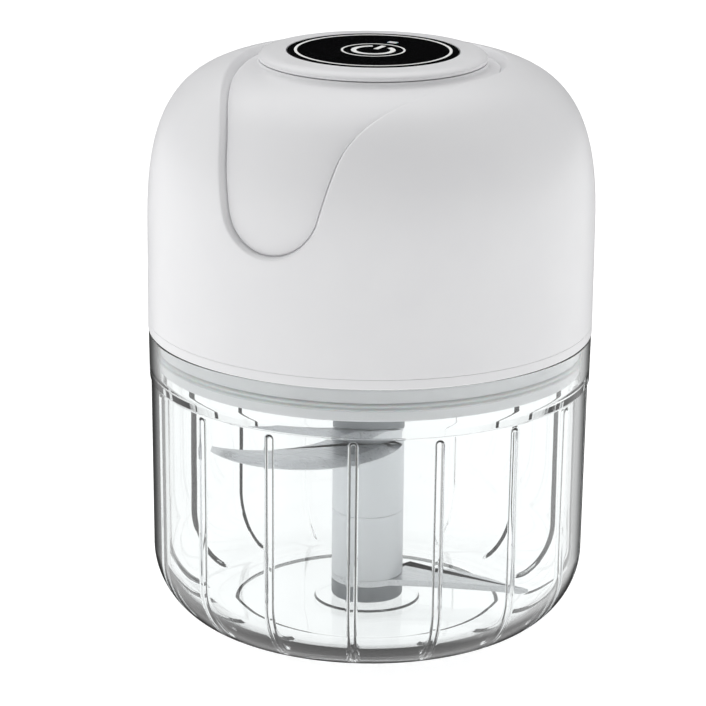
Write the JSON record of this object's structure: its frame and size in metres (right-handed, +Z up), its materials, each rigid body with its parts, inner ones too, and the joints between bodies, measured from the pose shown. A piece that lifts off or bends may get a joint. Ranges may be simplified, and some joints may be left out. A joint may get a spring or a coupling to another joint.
{
  "type": "food processor",
  "caption": "Cordless mini food processor: domed motor head with press button on a clear ribbed cup with a lift-out two-blade stem.",
  "frame": {"origin": "middle of the underside, on the table", "axes": "+Z up along the stem, -Y to the front, with the finger recess; +Y to the charging socket"},
  "size_m": [0.087, 0.087, 0.1136],
  "materials": {
    "clear_cup": "clear moulded plastic, polished",
    "steel": "turned and bright",
    "blade_steel": "ground and polished sheet",
    "white_plastic": "moulded ABS, satin to gloss",
    "white_acetal": "moulded acetal",
    "pale_grey_plastic": "moulded, satin",
    "grey_plastic": "moulded, satin",
    "black_gloss": "moulded acrylic, high gloss",
    "white_print": "screen print",
    "light_guide": "clear to milky acrylic",
    "silicone": "soft, matt",
    "dark_silicone": "soft, matt",
    "ferrite": "sintered, matt",
    "bronze": "sintered bronze",
    "copper": "enamelled copper winding",
    "board_green": "solder mask on glass laminate",
    "dark_plastic": "moulded nylon",
    "cell_wrap": "heat-shrunk film",
    "wire_jacket": "PVC insulation"
  },
  "bodies": {
    "cup": {"cup": "clear_cup", "pivot_pin": "steel"},
    "pivot": {"pivot_bush": "white_acetal"},
    "blades": {"stem_core": "pale_grey_plastic", "stem_foot_collar": "grey_plastic", "lower_blade": "blade_steel", "lower_sleeve": "pale_grey_plastic", "upper_sleeve": "pale_grey_plastic", "upper_blade": "blade_steel", "drive_hub": "grey_plastic"},
    "head": {"head_base": "white_plastic", "seal_ring": "silicone", "dome_shell": "white_plastic", "button_bezel": "white_plastic", "housing_screws": "steel", "button_spring": "steel", "motor_can": "steel", "motor_magnets": "ferrite", "motor_end_cap": "white_acetal", "motor_bushes": "bronze", "motor_screws": "steel", "shaft_seal": "dark_silicone", "chassis": "white_acetal", "control_board": "board_green", "tact_switch": "dark_plastic", "status_leds": "light_guide", "board_screws": "steel", "battery_cells": "cell_wrap", "battery_holder": "white_acetal", "battery_tabs": "steel", "charge_board": "board_green", "usb_socket": "steel", "battery_leads": "wire_jacket", "motor_leads": "wire_jacket"},
    "drive": {"motor_shaft": "steel", "motor_rotor": "copper", "drive_coupling": "pale_grey_plastic"},
    "button": {"button_symbol": "white_print", "button_cap": "black_gloss", "button_plunger": "white_acetal", "light_pipe": "light_guide"},
    "port_cover": {"port_cover": "silicone"}
  },
  "joints": [
    {"name": "head_lift", "type": "slide", "parent": "cup", "child": "head", "axis": [0, 0, 1], "range_m": [0, 0.15]},
    {"name": "blade_lift", "type": "slide", "parent": "cup", "child": "pivot", "axis": [0, 0, 1], "range_m": [0, 0.075]},
    {"name": "motor_spin", "type": "hinge", "parent": "head", "child": "drive", "pos_m": [0, 0, 0.06], "axis": [0, 0, 1], "continuous": true},
    {"name": "blade_spin", "type": "hinge", "parent": "pivot", "child": "blades", "pos_m": [0, 0, 0.02], "axis": [0, 0, 1], "continuous": true},
    {"name": "button_press", "type": "slide", "parent": "head", "child": "button", "axis": [0, 0, -1], "range_m": [0, 0.001], "stiffness_N_per_m": 900, "springref_m": -0.0015, "deforming": ["button_spring"]},
    {"name": "port_cover_swing", "type": "hinge", "parent": "head", "child": "port_cover", "pos_m": [0, 0.0435, 0.07428], "axis": [1, 0, 0], "range_deg": [0, 100]}
  ],
  "couplings": [
    {"joint": "blade_lift", "follows": "head_lift", "ratio": 0.5},
    {"joint": "blade_spin", "follows": "motor_spin", "ratio": 1}
  ]
}
